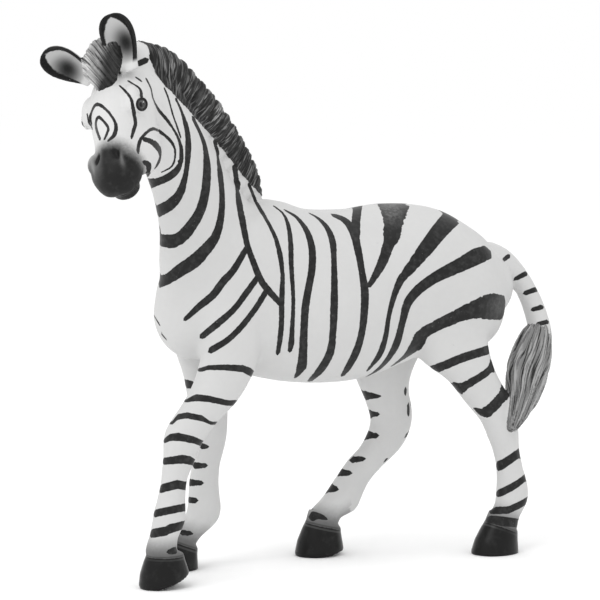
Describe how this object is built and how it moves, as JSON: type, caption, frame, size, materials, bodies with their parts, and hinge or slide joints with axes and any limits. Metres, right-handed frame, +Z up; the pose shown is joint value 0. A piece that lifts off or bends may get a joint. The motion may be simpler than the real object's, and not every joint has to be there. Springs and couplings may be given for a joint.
{
  "type": "zebra figurine",
  "caption": "Cast plastic zebra standing in a walking pose, head turned to its left, upright mane, painted stripes and dark hooves, tail tuft resting on a hock.",
  "frame": {"origin": "on the ground, under the middle of the figure's outer box", "axes": "+Z up from the hooves; the zebra walks towards -X, and its left flank, with the head turned to it, faces -Y"},
  "size_m": [0.115, 0.0384, 0.1097],
  "materials": {
    "painted_plastic": "hand-painted matte plastic: off-white with charcoal stripes, mane, muzzle and hooves"
  },
  "bodies": {
    "root": {"zebra": "painted_plastic"}
  },
  "joints": []
}
